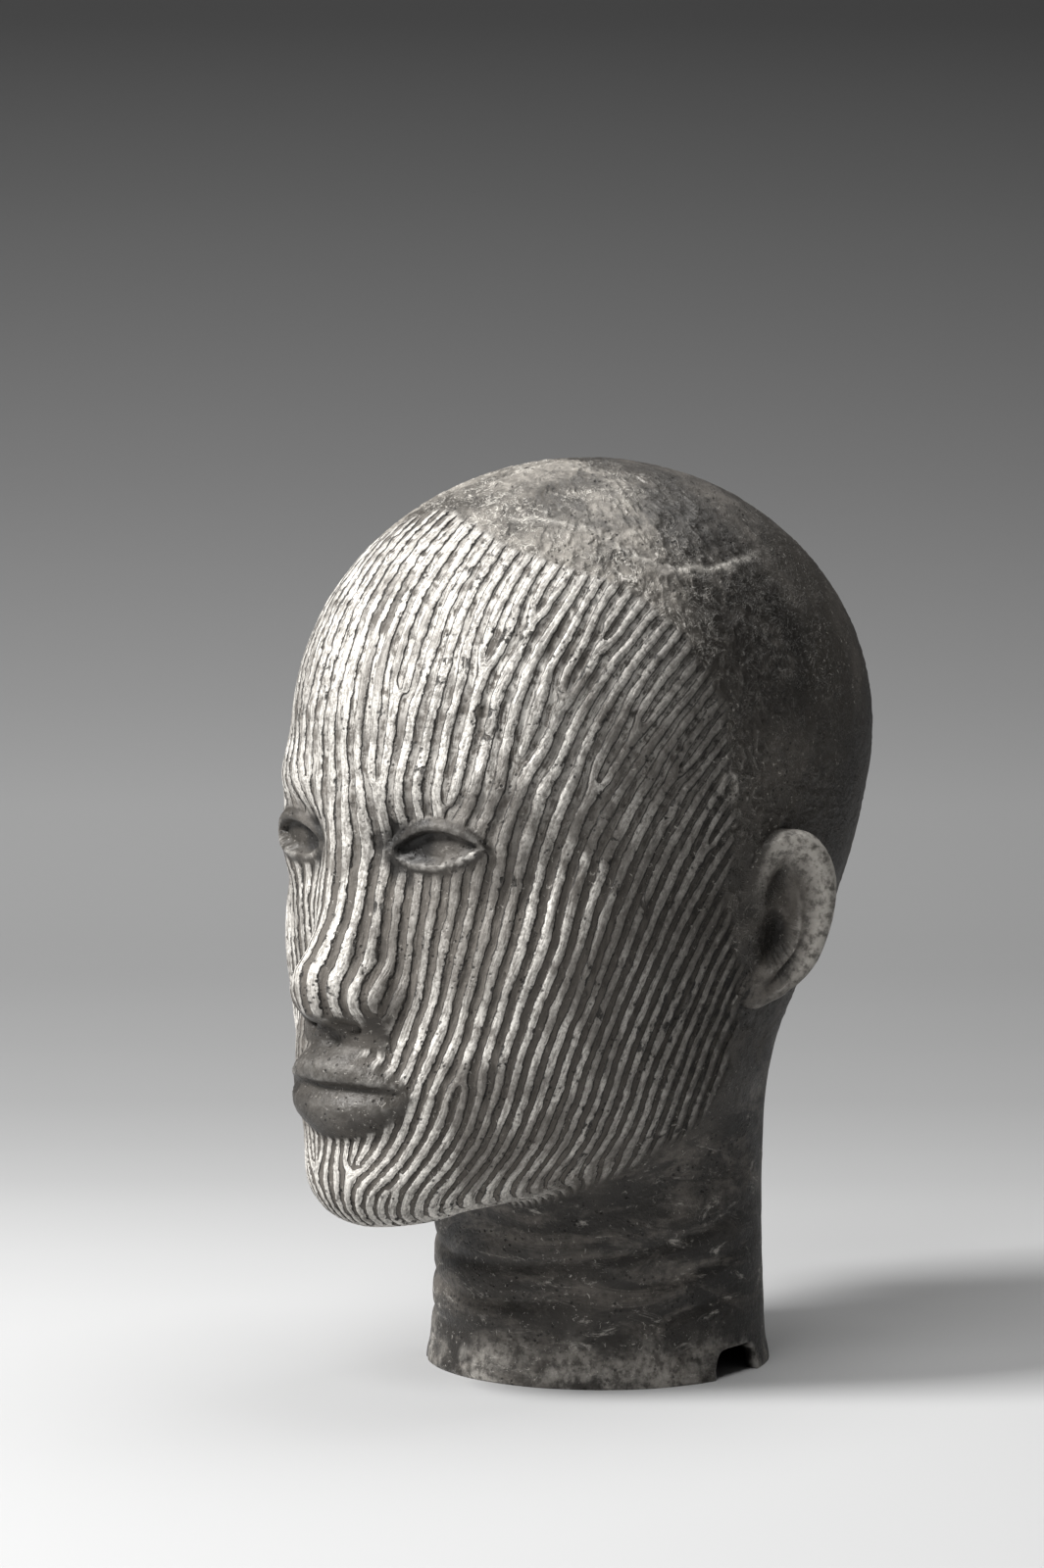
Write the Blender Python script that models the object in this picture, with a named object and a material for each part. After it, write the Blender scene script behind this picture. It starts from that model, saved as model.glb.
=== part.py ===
"""A cast bronze head on its open neck, calm, bald and larger than life, hollow inside.

The head is sculpted as a distance field of soft masses: skull, jaw, neck, nose, lips and lids flow
into each other, and a ball of points is laid onto the outermost surface of that field. Lengths of the
form are shares of the head's own height, from the chin at 0 to the crown at 1, with x to the
figure's left, y to its back and z up. Everything else is in metres.
"""
import functools
import math

import bmesh
import bpy
import numpy as np
from mathutils import Vector

# Driving sizes, in metres.
HEIGHT = 0.300
NECK_LENGTH = 0.055
WALL = 0.004

# Proportions of a grown head, as shares of its height from chin to crown.
EYE_LINE = 0.50
BROW_LINE = 0.565
NOSE_BASE = 0.275
MOUTH_LINE = 0.19
EYE_WIDTH = 0.132
EYE_CENTRE = 0.132
MOUTH_WIDTH = 0.210
UPPER_LIP = 0.028
LOWER_LIP = 0.034
UPPER_LID = 0.030
LOWER_LID = 0.022
EYE_TILT = 0.005
NOSE_WIDTH = 0.176
NECK_AXIS = 0.065
NECK_RADIUS = 0.229

# The ear, in shares of the head's height. Its plate turns out from the skull and leans back.
EAR_LENGTH = 0.240
EAR_CENTRE = (0.300, 0.095, 0.392)
EAR_FLARE = math.radians(24)
EAR_LEAN = math.radians(8)

# Each fold of the neck: its height at the front, in metres, and its depth.
NECK_FOLDS = ((0.014, 0.0045), (0.026, 0.0050), (0.038, 0.0040))

# The broken gap in the rim, in metres, and its bearing from the face round to the figure's left.
NOTCH_WIDTH = 0.024
NOTCH_HEIGHT = 0.0095
NOTCH_BEARING = math.radians(101)
NOTCH_ROUNDING = 0.55

# Points round and up the ball that is laid on the head, the ears and the hollow, and the faces kept.
HEAD_GRID = (300, 240)
EAR_GRID = (108, 80)
HOLLOW_GRID = (32, 27)
HEAD_TRIANGLES = 6100
EAR_TRIANGLES = 1000
GROUND = 0.5

EYEBALL = (EYE_CENTRE - 0.004, -0.262, EYE_LINE)
HEAD = HEIGHT - NECK_LENGTH


# Distance field tools. Points are rows of x, y, z in shares of the head's height.

def ellipsoid(p, centre, radii):
    q = p - np.array(centre)
    near = np.linalg.norm(q / radii, axis=1) + 1e-9
    slope = np.linalg.norm(q / np.square(radii), axis=1) + 1e-9
    return near * (near - 1.0) / slope


def limb(p, path):
    """A rounded limb through points of x, y, z, radius, thick as each radius says."""
    nearest = None
    for start, end in zip(path[:-1], path[1:]):
        a = np.array(start[:3])
        along = np.array(end[:3]) - a
        t = np.clip((p - a) @ along / (along @ along), 0.0, 1.0)
        radius = start[3] + (end[3] - start[3]) * t
        d = np.linalg.norm(p - a - t[:, None] * along, axis=1) - radius
        nearest = d if nearest is None else np.minimum(nearest, d)
    return nearest


def curve(points, count):
    """Points of x, y, z and radius along a smooth curve through the given ones."""
    given = np.array(points, float)
    padded = np.vstack((2 * given[0] - given[1], given, 2 * given[-1] - given[-2]))
    at = np.linspace(0, len(given) - 1, count)
    index = np.minimum(at.astype(int), len(given) - 2)
    t = (at - index)[:, None]
    a, b, c, d = (padded[index + shift] for shift in range(4))
    return 0.5 * (2 * b + (c - a) * t + (2 * a - 5 * b + 4 * c - d) * t ** 2
                  + (3 * b - a - 3 * c + d) * t ** 3)


def join(a, b, soft):
    blend = np.maximum(soft - np.abs(a - b), 0.0) / soft
    return np.minimum(a, b) - blend * blend * soft / 4.0


def carve(a, b, soft):
    return -join(-a, b, soft)


def common(a, b, soft):
    return -join(-a, -b, soft)


def step(low, high, value):
    t = np.clip((value - low) / (high - low), 0.0, 1.0)
    return t * t * (3.0 - 2.0 * t)


def mirrored(p):
    return np.column_stack((np.abs(p[:, 0]), p[:, 1], p[:, 2]))


def skull(p):
    """The bald head without features: brain case, cheeks, jaw and neck."""
    q = mirrored(p)
    d = ellipsoid(p, (0, 0.045, 0.635), (0.325, 0.445, 0.365))
    d = join(d, ellipsoid(p, (0, 0.08, 0.45), (0.285, 0.305, 0.26)), 0.10)
    d = join(d, ellipsoid(p, (0, -0.11, 0.40), (0.258, 0.275, 0.33)), 0.08)
    d = join(d, ellipsoid(q, (0.160, -0.170, 0.345), (0.112, 0.130, 0.150)), 0.10)
    d = join(d, ellipsoid(p, (0, -0.13, 0.205), (0.238, 0.25, 0.172)), 0.08)
    jaw = ((0.222, 0.05, 0.34, 0.05), (0.202, 0.01, 0.180, 0.048), (0.075, -0.295, 0.080, 0.055))
    d = join(d, limb(q, jaw), 0.10)
    d = join(d, ellipsoid(p, (0, -0.345, 0.070), (0.090, 0.070, 0.068)), 0.06)
    return join(d, neck(p), 0.05 + 0.07 * step(-0.05, 0.2, p[:, 1]))


def neck(p):
    """A round column with a soft waist, three folds round its front and a rim that opens a little."""
    lowest = -(NECK_LENGTH + 0.02) / HEAD
    foot = -NECK_LENGTH / HEAD
    waist = 0.006 * np.sin(np.clip((p[:, 2] + 0.21) / 0.4, 0, 1) * math.pi)
    rim = 0.005 * np.exp(-np.square((p[:, 2] - foot) / 0.022))
    front = step(0.28, -0.05, p[:, 1])
    folds = 0.0
    for height, depth in NECK_FOLDS:
        slant = foot + height / HEAD + 0.22 * (p[:, 1] - NECK_AXIS + NECK_RADIUS)
        folds = folds + depth * np.exp(-np.square((p[:, 2] - slant) / 0.0095))
    across = np.hypot(p[:, 0], p[:, 1] - NECK_AXIS) - (NECK_RADIUS - waist + rim - folds * front)
    return common(across, np.maximum(lowest - p[:, 2], p[:, 2] - 0.45), 0.02)


def brow_and_nose(p):
    """The head with its brow ridge, nose and the rounded barrel behind the lips."""
    d = skull(p)
    q = mirrored(p)
    ridge = curve(((0.025, -0.340, BROW_LINE - 0.015, 0.020), (0.09, -0.344, BROW_LINE + 0.008, 0.026),
                   (0.165, -0.298, BROW_LINE + 0.012, 0.026), (0.225, -0.220, BROW_LINE - 0.008, 0.020),
                   (0.255, -0.150, BROW_LINE - 0.045, 0.008)), 14)
    d = join(d, limb(q, ridge), 0.06)
    d = carve(d, ellipsoid(q, (0.120, -0.432, EYE_LINE), (0.084, 0.064, 0.050)), 0.06)
    bridge = curve(((0, -0.345, EYE_LINE + 0.03, 0.028), (0, -0.352, 0.46, 0.031),
                    (0, -0.372, 0.39, 0.038), (0, -0.405, NOSE_BASE + 0.050, 0.054)), 8)
    d = join(d, limb(q, bridge), 0.060)
    wing = (NOSE_WIDTH / 2 - 0.040, -0.366, NOSE_BASE + 0.034)
    d = join(d, ellipsoid(q, wing, (0.040, 0.062, 0.038)), 0.028)
    septum = ((0, -0.425, NOSE_BASE + 0.014, 0.020), (0, -0.385, NOSE_BASE - 0.002, 0.018))
    d = join(d, limb(q, septum), 0.02)
    nostril = ((0.030, -0.420, NOSE_BASE - 0.008, 0.009), (0.048, -0.392, NOSE_BASE - 0.008, 0.012),
               (0.038, -0.400, NOSE_BASE + 0.010, 0.010))
    d = carve(d, limb(q, nostril), 0.012)
    barrel = (0, -0.285, MOUTH_LINE + 0.005)
    d = join(d, ellipsoid(q, barrel, (0.140, 0.118, 0.110)), 0.06)
    groove = ((0, -0.420, NOSE_BASE - 0.02, 0.008), (0, -0.440, MOUTH_LINE + 0.065, 0.013))
    return carve(d, limb(q, groove), 0.03)


def laid(field, x, z):
    """How far forward the field's surface lies at each x and z."""
    start = np.column_stack((x, np.full_like(x, -0.2), z))
    ahead = np.tile((0.0, -1.0, 0.0), (len(x), 1))
    return -0.2 - outermost(field, start, ahead, reach=0.35)


@functools.lru_cache
def lip_lines():
    """The upper and the lower lip, each a limb from the middle to the corner."""
    s = np.linspace(0, 1, 9)
    x = s * MOUTH_WIDTH / 2
    lips = []
    for side, full in ((1, UPPER_LIP), (-1, LOWER_LIP)):
        dip = 0.004 * np.exp(-np.square(s / 0.16)) if side > 0 else 0.0
        radius = full * (0.14 + 0.86 * np.clip(1 - s ** 1.9, 0, 1) ** 0.85)
        z = MOUTH_LINE + side * radius * 0.86 - dip - 0.004 * s
        y = laid(brow_and_nose, x, z) + radius * 0.92 - 0.022 * (1 - s ** 2) ** 0.8
        lips.append(np.column_stack((x, y, z, radius)))
    return lips


def lips(p):
    d = brow_and_nose(p)
    q = mirrored(p)
    for line in reversed(lip_lines()):
        d = join(d, limb(q, line), 0.012)
    return d


@functools.lru_cache
def parting_line():
    s = np.linspace(0, 0.97, 9)
    x = s * MOUTH_WIDTH / 2
    z = MOUTH_LINE + 0.003 * np.sin(s * math.pi) - 0.004 * s
    radius = 0.0045 * (1 - 0.7 * s)
    return np.column_stack((x, laid(lips, x, z) + radius * 0.3, z, radius))


def mouth(p):
    return carve(lips(p), limb(mirrored(p), parting_line()), 0.012)


def lid_height(s, full):
    """How far a lid stands from the eye's own line at s, which runs from corner to corner."""
    arc = 1.0 - s * s
    return full * np.sign(arc) * np.abs(arc) ** np.where(arc > 0, 0.8, 0.5)


def eyeballs(p):
    return join(mouth(p), ellipsoid(mirrored(p), EYEBALL, (0.094, 0.093, 0.078)), 0.030)


@functools.lru_cache
def lid_lines():
    s = np.sin(np.linspace(-1, 1, 17) * math.pi / 2)
    x = EYE_CENTRE + s * EYE_WIDTH / 2
    lines = []
    for full in (UPPER_LID, -LOWER_LID):
        z = EYE_LINE + EYE_TILT * s + lid_height(s, full)
        radius = 0.0045 + 0.0025 * (1 - s * s) * (1 if full > 0 else 0.5)
        lines.append(np.column_stack((x, laid(eyeballs, x, z) + 0.001, z, radius)))
    return lines


def eyes(p):
    """A ball in an opening of even depth, and a raised rim along each lid."""
    d = eyeballs(p)
    q = mirrored(p)
    s = (q[:, 0] - EYE_CENTRE) / (EYE_WIDTH / 2)
    z = q[:, 2] - EYE_LINE - EYE_TILT * s
    opening = np.maximum(z - lid_height(s, UPPER_LID), -lid_height(s, LOWER_LID) - z)
    depth = 0.002 + 0.009 * np.sqrt(np.clip(1 - s * s, 0, 1))
    opened = carve(d, np.maximum(opening, np.maximum(-(d + depth), q[:, 1] - EYEBALL[1])), 0.003)
    for line in lid_lines():
        opened = join(opened, limb(q, line), 0.005)
    return opened


def ear_axes():
    """The ear's own directions: to the back, up along its length and out of its plate."""
    back = np.array((math.sin(EAR_FLARE), math.cos(EAR_FLARE), 0.0))
    out = np.array((math.cos(EAR_FLARE), -math.sin(EAR_FLARE), 0.0))
    up = np.array((0.0, 0.0, 1.0))
    lean, upright = math.sin(EAR_LEAN), math.cos(EAR_LEAN)
    return back * upright - up * lean, back * lean + up * upright, out


def ear_frame(p):
    """Points in the ear's frame, as shares of the ear's length."""
    return (p - np.array(EAR_CENTRE)) @ np.array(ear_axes()).T / EAR_LENGTH


def ear(p):
    """Helix, antihelix, bowl, tragus, lobe and the long slit before them, on a plate that meets the skull."""
    q = ear_frame(p)
    helix = curve(((-0.03, -0.02, 0.02, 0.035), (-0.15, 0.10, 0.04, 0.050), (-0.16, 0.27, 0.06, 0.066),
                   (-0.07, 0.415, 0.09, 0.075), (0.08, 0.425, 0.12, 0.075), (0.195, 0.28, 0.14, 0.068),
                   (0.220, 0.06, 0.14, 0.060), (0.180, -0.18, 0.11, 0.054), (0.08, -0.34, 0.06, 0.050),
                   (-0.05, -0.44, 0.02, 0.045)), 40)
    inner = curve(((0.085, 0.27, 0.03, 0.035), (0.120, 0.08, 0.065, 0.042), (0.095, -0.09, 0.075, 0.042),
                   (0.00, -0.25, 0.065, 0.040), (-0.11, -0.39, 0.040, 0.036)), 20)
    d = ellipsoid(q, (0.02, 0.02, -0.08), (0.25, 0.46, 0.11))
    d = join(d, ellipsoid(q, (-0.06, 0.0, -0.18), (0.20, 0.38, 0.20)), 0.10)
    d = join(d, ellipsoid(q, (-0.07, -0.37, 0.0), (0.11, 0.12, 0.07)), 0.06)
    d = join(d, limb(q, helix), 0.03)
    d = join(d, limb(q, inner), 0.04)
    d = join(d, limb(q, ((0.0, 0.33, 0.02, 0.03), (0.11, 0.18, 0.04, 0.035))), 0.04)
    bowl = join(ellipsoid(q, (-0.03, -0.08, 0.06), (0.125, 0.17, 0.22)),
                limb(q, ((-0.03, 0.05, 0.02, 0.045), (-0.09, -0.13, -0.08, 0.05), (-0.10, -0.15, -0.2, 0.04))), 0.03)
    d = carve(d, bowl, 0.03)
    d = join(d, ellipsoid(q, (-0.18, -0.06, 0.02), (0.05, 0.12, 0.07)), 0.04)
    slit = join(limb(q, ((-0.03, 0.01, 0.0, 0.040), (-0.08, -0.15, -0.04, 0.054), (-0.13, -0.27, -0.02, 0.046))),
                limb(q, ((-0.03, 0.01, 0.10, 0.046), (-0.08, -0.15, 0.10, 0.062), (-0.13, -0.27, 0.10, 0.052))), 0.06)
    d = carve(d, slit, 0.03)
    return d * EAR_LENGTH


def ear_with_fillet(p):
    """The ear and the skin round its root, which sinks under the head's own skin further out."""
    q = ear_frame(p)
    apart = np.linalg.norm(q * (1.0, 0.75, 0.6), axis=1)
    sunk = skull(p) + 0.0015 + 0.03 * step(0.25, 0.5, apart)
    near = ellipsoid(q, (0.0, 0.0, -0.05), (0.52, 0.72, 0.50)) * EAR_LENGTH
    return common(join(ear(p), sunk, 0.03), near, 0.005)


def form(p):
    """The whole head without its ears."""
    d = skull(p)
    front = p[:, 1] < -0.12
    d[front] = eyes(p[front])
    return d


def hollow(p):
    """The space inside, a wall's thickness under the skin, and more behind the face."""
    behind_face = 0.016 * step(-0.18, -0.30, p[:, 1])
    return np.maximum(skull(p), form(p)) + WALL / HEAD + behind_face


def ray(turn, rise):
    """Start and direction of the ray for a turn about the head's axis (0 to the face) and a rise
    from -1 at the neck's foot to 1 at the crown. The starts climb the axis, so that low rays cross
    the neck's wall and high ones the brain case."""
    low = np.clip(-rise, 0, 1)
    start_z = np.where(rise < 0, 0.50 - 0.62 * low ** 0.9, 0.50)
    start_y = NECK_AXIS * step(0.3, 1.0, low)
    slope = np.where(rise < 0, -math.radians(42) * np.sin(np.minimum(low * 2.4, 1) * math.pi / 2),
                     math.pi / 2 * rise)
    start = np.column_stack((np.zeros_like(turn), start_y, start_z))
    flat = np.cos(slope)
    return start, np.column_stack((np.sin(turn) * flat, -np.cos(turn) * flat, np.sin(slope)))


def outermost(field, start, direction, reach=0.75, steps=48, refine=8):
    """How far along each ray the field's outermost surface lies."""
    count = len(start)
    far = np.full(count, reach)
    active = np.arange(count)
    for _ in range(steps):
        d = field(start[active] + direction[active] * far[active, None])
        far[active] -= np.clip(d, 0.0, None) * 0.8
        active = active[d > 2e-4]
        if not len(active):
            break
    for _ in range(refine):
        d = field(start + direction * far[:, None])
        far -= d * 0.8
    return far


# Meshes: each is a ball whose points are laid on the outermost surface of a field.

def ball(grid):
    mesh = bmesh.new()
    bmesh.ops.create_uvsphere(mesh, u_segments=grid[0], v_segments=grid[1], radius=1.0)
    return mesh, np.array([vert.co[:] for vert in mesh.verts])


def object_of(name, mesh, points, origin, group):
    for vert, point in zip(mesh.verts, points):
        vert.co = point
    data = bpy.data.meshes.new(name)
    mesh.to_mesh(data)
    mesh.free()
    made = bpy.data.objects.new(name, data)
    made.location = origin
    group.objects.link(made)
    return made


def gathered(share, middle, amount):
    """Shares from -1 to 1 drawn towards the middle, with both ends kept."""
    cube = (share - middle) ** 3
    low, high = (-1 - middle) ** 3, (1 - middle) ** 3
    return (1 - amount) * share + amount * (2 * (cube - low) / (high - low) - 1)


def head_points(points, field, amount):
    """A ball's points on the head's field, drawn towards the face by the amount."""
    turn = np.arctan2(points[:, 0], -points[:, 1]) / math.pi
    rise = np.arcsin(np.clip(points[:, 2], -1, 1)) * 2 / math.pi
    start, direction = ray(math.pi * gathered(turn, 0, amount), gathered(rise, -0.07, amount))
    return start + direction * outermost(field, start, direction)[:, None]


def ear_points(points, side):
    """A ball's points on the ear's field. The right ear is the left one mirrored."""
    direction = points * (side, 1, 1) @ np.array(ear_axes())
    root = np.array(EAR_CENTRE) - 0.05 * ear_axes()[2]
    start = np.tile(root, (len(points), 1))
    far = outermost(ear_with_fillet, start, direction, reach=0.3)
    return (start + direction * far[:, None]) * (side, 1, 1)


def bronze():
    material = bpy.data.materials.new("bronze")
    material.use_nodes = True
    shader = material.node_tree.nodes["Principled BSDF"]
    shader.inputs["Base Color"].default_value = (0.105, 0.080, 0.062, 1.0)
    shader.inputs["Metallic"].default_value = 0.65
    shader.inputs["Roughness"].default_value = 0.5
    return material


def notch(origin, group):
    """An arch through the neck's rim, as a bar with a rounded top that lies across the wall."""
    mesh = bmesh.new()
    bmesh.ops.create_cone(mesh, cap_ends=True, segments=24, radius1=1.0, radius2=1.0, depth=1.0)
    points = np.array([vert.co[:] for vert in mesh.verts])
    points[:, :2] = np.sign(points[:, :2]) * np.abs(points[:, :2]) ** NOTCH_ROUNDING
    points = points * (NOTCH_WIDTH / 2, NOTCH_HEIGHT, NECK_RADIUS * HEAD)
    bar = object_of("notch", mesh, points, origin, group)
    outward = Vector((math.sin(NOTCH_BEARING), -math.cos(NOTCH_BEARING), 0.0))
    bar.rotation_euler = (math.pi / 2, 0.0, NOTCH_BEARING)
    bar.location = Vector((origin[0], origin[1] + NECK_AXIS * HEAD, 0.0)) + outward * NECK_RADIUS * HEAD
    return bar


def floor(group):
    """The ground that cuts the neck flat, its top at height 0."""
    mesh = bmesh.new()
    bmesh.ops.create_cube(mesh, size=1.0)
    points = np.array([vert.co[:] for vert in mesh.verts]) * GROUND
    return object_of("ground", mesh, points, (0, 0, -GROUND / 2), group)


def simplify(target, triangles, symmetric=False):
    modifier = target.modifiers.new("fewer faces", "DECIMATE")
    modifier.ratio = triangles / sum(len(face.vertices) - 2 for face in target.data.polygons)
    modifier.use_symmetry = symmetric
    modifier.symmetry_axis = "X"


def boolean(target, operation, other):
    modifier = target.modifiers.new(other.name, "BOOLEAN")
    modifier.operation = operation
    modifier.object = other
    other.hide_render = True
    other.display_type = "WIRE"


def collection(name):
    made = bpy.data.collections.new(name)
    bpy.context.scene.collection.children.link(made)
    return made


def main():
    for old in list(bpy.data.objects):
        bpy.data.objects.remove(old)
    parts = collection("bronze_head")
    helpers = collection("cutters")

    mesh, points = ball(HEAD_GRID)
    points = head_points(points, form, 0.6) * HEAD
    middle = (points[:, 1].min() + points[:, 1].max()) / 2
    origin = (0.0, -middle, NECK_LENGTH)
    head = object_of("head", mesh, points, origin, parts)
    head.data.materials.append(bronze())
    simplify(head, HEAD_TRIANGLES, symmetric=True)

    for name, side in (("left_ear", 1), ("right_ear", -1)):
        mesh, points = ball(EAR_GRID)
        ear_object = object_of(name, mesh, ear_points(points, side) * HEAD, origin, helpers)
        simplify(ear_object, EAR_TRIANGLES)
        boolean(head, "UNION", ear_object)

    mesh, points = ball(HOLLOW_GRID)
    points = head_points(points, hollow, 0.0) * HEAD
    boolean(head, "DIFFERENCE", object_of("hollow", mesh, points, origin, helpers))
    boolean(head, "DIFFERENCE", floor(helpers))
    boolean(head, "DIFFERENCE", notch(origin, helpers))


if __name__ == "__main__":
    main()
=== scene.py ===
"""The bronze head as it looks: the sculpted form with its carved lines, rough scalp, pits and patina.

The form is a distance field of soft masses in shares of the head's height, from the chin at 0 to the
crown at 1, with x to the figure's left, y to its back and z up. A fine grid of points is laid on the
outermost surface of that field and then cut by the relief, whose sizes are in millimetres.
"""
import functools
import math

import bmesh
import bpy
import numpy as np
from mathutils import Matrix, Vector


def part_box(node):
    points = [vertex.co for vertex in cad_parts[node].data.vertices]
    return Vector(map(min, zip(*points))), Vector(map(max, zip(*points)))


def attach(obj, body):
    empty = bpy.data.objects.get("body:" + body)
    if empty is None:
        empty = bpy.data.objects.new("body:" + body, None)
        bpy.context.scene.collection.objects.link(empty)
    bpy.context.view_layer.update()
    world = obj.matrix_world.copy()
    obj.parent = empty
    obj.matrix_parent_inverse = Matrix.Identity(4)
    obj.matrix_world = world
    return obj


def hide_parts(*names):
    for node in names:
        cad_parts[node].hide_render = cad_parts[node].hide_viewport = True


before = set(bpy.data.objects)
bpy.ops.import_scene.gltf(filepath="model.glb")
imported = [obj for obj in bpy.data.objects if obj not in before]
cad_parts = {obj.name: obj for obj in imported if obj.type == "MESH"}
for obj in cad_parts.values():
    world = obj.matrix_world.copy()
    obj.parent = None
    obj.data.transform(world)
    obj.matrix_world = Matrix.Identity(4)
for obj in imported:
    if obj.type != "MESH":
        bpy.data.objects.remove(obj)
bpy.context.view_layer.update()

# The head's height follows from the frame: the neck is this long below the chin.
NECK_LENGTH = 0.055
WALL = 0.004
HEIGHT = 0.300
HEAD = HEIGHT - NECK_LENGTH
MM = 0.001 / HEAD

# Proportions of a grown head, as shares of its height from chin to crown.
EYE_LINE = 0.50
BROW_LINE = 0.565
NOSE_BASE = 0.275
MOUTH_LINE = 0.19
EYE_WIDTH = 0.132
EYE_CENTRE = 0.132
MOUTH_WIDTH = 0.210
UPPER_LIP = 0.028
LOWER_LIP = 0.034
UPPER_LID = 0.030
LOWER_LID = 0.022
EYE_TILT = 0.005
NOSE_WIDTH = 0.176
NECK_AXIS = 0.065
NECK_RADIUS = 0.229

# The ear, in shares of the head's height. Its plate turns out from the skull and leans back.
EAR_LENGTH = 0.240
EAR_CENTRE = (0.300, 0.095, 0.392)
EAR_FLARE = math.radians(24)
EAR_LEAN = math.radians(8)

# Each fold of the neck: its height at the front, in metres, and its depth.
NECK_FOLDS = ((0.014, 0.0045), (0.026, 0.0050), (0.038, 0.0040))


EYEBALL = (EYE_CENTRE - 0.004, -0.262, EYE_LINE)

# The gap in the rim, as in the frame, and half of the head's depth in front of x, y = 0.
NOTCH_WIDTH = 0.024
NOTCH_HEIGHT = 0.0095
NOTCH_BEARING = math.radians(101)
NOTCH_ROUNDING = 0.55
MIDDLE = 0.00379
NECK_PLACE = Vector((0.0, NECK_AXIS * HEAD - MIDDLE, 0.0))

# Points of the skin round and up, and the triangles kept.
COLUMNS = 760
ROWS = 460
REFINE = 9
SKIN_TRIANGLES = 158000
EAR_GRID = (150, 110)
EAR_TRIANGLES = 12000
HOLLOW_GRID = (64, 52)

# The picture: the camera's turn from the face and its tilt, and the light.
CAMERA_TURN = math.radians(47)
CAMERA_PITCH = math.radians(-3.9)
KEY_POWER = 58
FILL_POWER = 13
TOP_POWER = 11
AMBIENT = 0.05
SWEEP_BACK = 1.6
SWEEP_RADIUS = 0.5
# Painted shade on the paper: how pale it is by metres behind the object along the floor and then up the wall, darker up
# the wall where the light falls off.
SHADE_REACH = 2.5
PAPER_PAINTED_SHADE = ((0.0, 0.437), (0.1, 0.437), (0.2, 0.418), (0.3, 0.386), (0.37, 0.355), (0.47, 0.334),
               (0.6, 0.318), (0.82, 0.335), (1.1, 0.378), (1.22, 0.347), (1.46, 0.321), (1.61, 0.258),
               (1.85, 0.174), (2.06, 0.111), (2.22, 0.052), (2.5, 0.042))


# Distance field tools. Points are rows of x, y, z in shares of the head's height.

def ellipsoid(p, centre, radii):
    q = p - np.array(centre)
    near = np.linalg.norm(q / radii, axis=1) + 1e-9
    slope = np.linalg.norm(q / np.square(radii), axis=1) + 1e-9
    return near * (near - 1.0) / slope


def limb(p, path):
    """A rounded limb through points of x, y, z, radius, thick as each radius says."""
    nearest = None
    for start, end in zip(path[:-1], path[1:]):
        a = np.array(start[:3])
        along = np.array(end[:3]) - a
        t = np.clip((p - a) @ along / (along @ along), 0.0, 1.0)
        radius = start[3] + (end[3] - start[3]) * t
        d = np.linalg.norm(p - a - t[:, None] * along, axis=1) - radius
        nearest = d if nearest is None else np.minimum(nearest, d)
    return nearest


def curve(points, count):
    """Points of x, y, z and radius along a smooth curve through the given ones."""
    given = np.array(points, float)
    padded = np.vstack((2 * given[0] - given[1], given, 2 * given[-1] - given[-2]))
    at = np.linspace(0, len(given) - 1, count)
    index = np.minimum(at.astype(int), len(given) - 2)
    t = (at - index)[:, None]
    a, b, c, d = (padded[index + shift] for shift in range(4))
    return 0.5 * (2 * b + (c - a) * t + (2 * a - 5 * b + 4 * c - d) * t ** 2
                  + (3 * b - a - 3 * c + d) * t ** 3)


def join(a, b, soft):
    blend = np.maximum(soft - np.abs(a - b), 0.0) / soft
    return np.minimum(a, b) - blend * blend * soft / 4.0


def carve(a, b, soft):
    return -join(-a, b, soft)


def common(a, b, soft):
    return -join(-a, -b, soft)


def step(low, high, value):
    t = np.clip((value - low) / (high - low), 0.0, 1.0)
    return t * t * (3.0 - 2.0 * t)


def mirrored(p):
    return np.column_stack((np.abs(p[:, 0]), p[:, 1], p[:, 2]))


def skull(p):
    """The bald head without features: brain case, cheeks, jaw and neck."""
    q = mirrored(p)
    d = ellipsoid(p, (0, 0.045, 0.635), (0.325, 0.445, 0.365))
    d = join(d, ellipsoid(p, (0, 0.08, 0.45), (0.285, 0.305, 0.26)), 0.10)
    d = join(d, ellipsoid(p, (0, -0.11, 0.40), (0.258, 0.275, 0.33)), 0.08)
    d = join(d, ellipsoid(q, (0.160, -0.170, 0.345), (0.112, 0.130, 0.150)), 0.10)
    d = join(d, ellipsoid(p, (0, -0.13, 0.205), (0.238, 0.25, 0.172)), 0.08)
    jaw = ((0.222, 0.05, 0.34, 0.05), (0.202, 0.01, 0.180, 0.048), (0.075, -0.295, 0.080, 0.055))
    d = join(d, limb(q, jaw), 0.10)
    d = join(d, ellipsoid(p, (0, -0.345, 0.070), (0.090, 0.070, 0.068)), 0.06)
    return join(d, neck(p), 0.05 + 0.07 * step(-0.05, 0.2, p[:, 1]))


def neck(p):
    """A round column with a soft waist, three folds round its front and a rim that opens a little."""
    lowest = -(NECK_LENGTH + 0.02) / HEAD
    foot = -NECK_LENGTH / HEAD
    waist = 0.006 * np.sin(np.clip((p[:, 2] + 0.21) / 0.4, 0, 1) * math.pi)
    rim = 0.005 * np.exp(-np.square((p[:, 2] - foot) / 0.022))
    front = step(0.28, -0.05, p[:, 1])
    folds = 0.0
    for height, depth in NECK_FOLDS:
        slant = foot + height / HEAD + 0.22 * (p[:, 1] - NECK_AXIS + NECK_RADIUS)
        folds = folds + depth * np.exp(-np.square((p[:, 2] - slant) / 0.0095))
    across = np.hypot(p[:, 0], p[:, 1] - NECK_AXIS) - (NECK_RADIUS - waist + rim - folds * front)
    return common(across, np.maximum(lowest - p[:, 2], p[:, 2] - 0.45), 0.02)


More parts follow.
